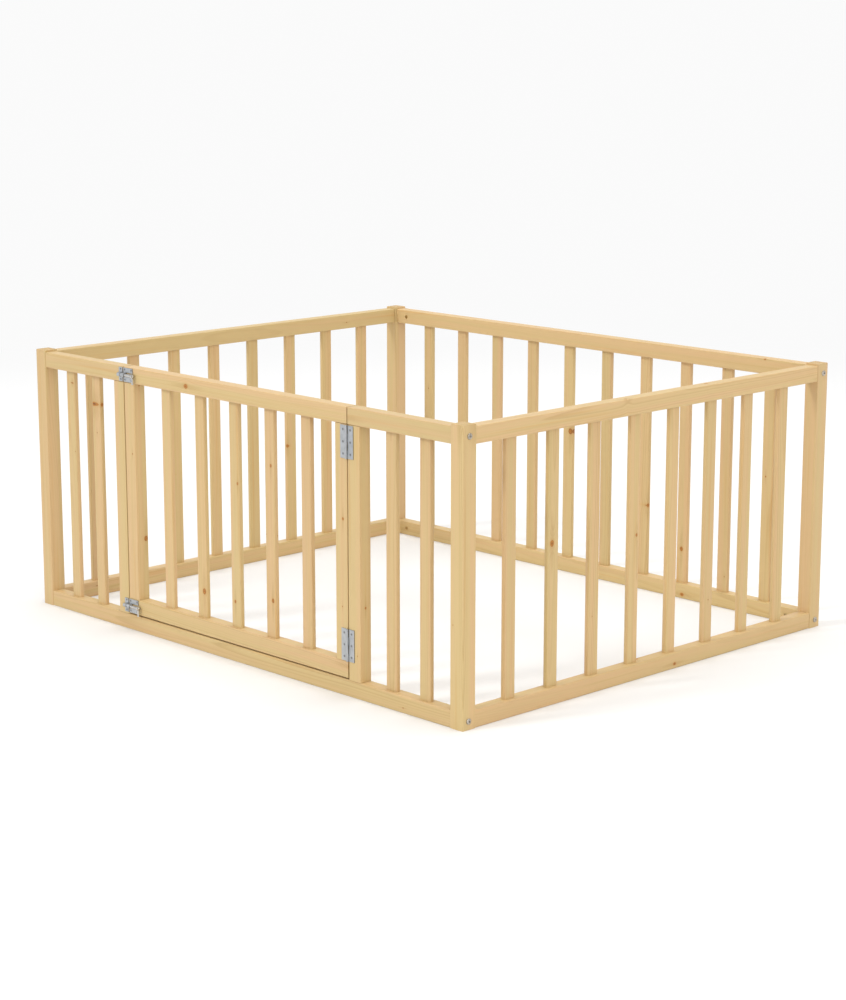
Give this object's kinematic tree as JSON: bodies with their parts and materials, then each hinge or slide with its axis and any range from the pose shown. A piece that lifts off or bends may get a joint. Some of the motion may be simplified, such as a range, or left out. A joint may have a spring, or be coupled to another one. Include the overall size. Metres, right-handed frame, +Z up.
{
  "type": "pet pen with gate",
  "caption": "Free-standing rectangular pine pet pen: slatted walls between corner posts, bolted front and back, and a slatted front gate on butt hinges with barrel bolts",
  "frame": {"origin": "middle of the pen's bounding box in plan, at floor level", "axes": "+Z up, +X to the right along the front wall, -Y out of the front wall, where the gate is"},
  "size_m": [1.5552, 1.2782, 0.67],
  "materials": {
    "pine": "planed and sanded, unfinished",
    "zinc_plate": "bright zinc plate",
    "bright_steel": "polished nickel-zinc plate",
    "brass": "turned, dull"
  },
  "bodies": {
    "pen": {"post_front_left": "pine", "post_front_right": "pine", "post_back_left": "pine", "post_back_right": "pine", "left_top_rail": "pine", "left_bottom_rail_and_slats": "pine", "right_top_rail": "pine", "right_bottom_rail_and_slats": "pine", "back_top_rail": "pine", "back_bottom_rail_and_slats": "pine", "front_sill": "pine", "front_top_rail_left": "pine", "front_stile_left": "pine", "front_left_slat_1": "pine", "front_left_slat_2": "pine", "front_top_rail_right": "pine", "front_stile_right": "pine", "front_right_slat_1": "pine", "front_right_slat_2": "pine", "bolt_front_top_left": "bright_steel", "barrel_nut_front_top_left": "brass", "bolt_front_top_right": "bright_steel", "barrel_nut_front_top_right": "brass", "bolt_front_low_left": "bright_steel", "barrel_nut_front_low_left": "brass", "bolt_front_low_right": "bright_steel", "barrel_nut_front_low_right": "brass", "bolt_back_top_left": "bright_steel", "barrel_nut_back_top_left": "brass", "bolt_back_top_right": "bright_steel", "barrel_nut_back_top_right": "brass", "bolt_back_low_left": "bright_steel", "barrel_nut_back_low_left": "brass", "bolt_back_low_right": "bright_steel", "barrel_nut_back_low_right": "brass", "hinge_top_fixed_leaf": "zinc_plate", "hinge_top_pin": "bright_steel", "latch_top_keeper": "zinc_plate", "hinge_low_fixed_leaf": "zinc_plate", "hinge_low_pin": "bright_steel", "latch_low_keeper": "zinc_plate"},
    "gate": {"gate_bottom_rail": "pine", "gate_top_rail": "pine", "gate_stile_latch_side": "pine", "gate_stile_hinge_side": "pine", "gate_slat_1": "pine", "gate_slat_2": "pine", "gate_slat_3": "pine", "gate_slat_4": "pine", "gate_slat_5": "pine", "hinge_top_gate_leaf": "zinc_plate", "latch_top_plate": "zinc_plate", "hinge_low_gate_leaf": "zinc_plate", "latch_low_plate": "zinc_plate"},
    "bolt_top": {"latch_top_rod": "bright_steel"},
    "handle_top": {"latch_top_handle": "bright_steel"},
    "bolt_low": {"latch_low_rod": "bright_steel"},
    "handle_low": {"latch_low_handle": "bright_steel"}
  },
  "joints": [
    {"name": "gate_swing", "type": "hinge", "parent": "pen", "child": "gate", "pos_m": [0.4075, -0.63065, 0.335], "axis": [0, 0, 1], "range_deg": [0, 180]},
    {"name": "bolt_top_slide", "type": "slide", "parent": "gate", "child": "bolt_top", "axis": [-1, 0, 0], "range_m": [0, 0.0269]},
    {"name": "handle_top_turn", "type": "hinge", "parent": "bolt_top", "child": "handle_top", "pos_m": [-0.364, -0.63365, 0.6455], "axis": [-1, 0, 0], "range_deg": [0, 180]},
    {"name": "bolt_low_slide", "type": "slide", "parent": "gate", "child": "bolt_low", "axis": [-1, 0, 0], "range_m": [0, 0.0269]},
    {"name": "handle_low_turn", "type": "hinge", "parent": "bolt_low", "child": "handle_low", "pos_m": [-0.364, -0.63365, 0.0615], "axis": [-1, 0, 0], "range_deg": [0, 180]}
  ]
}
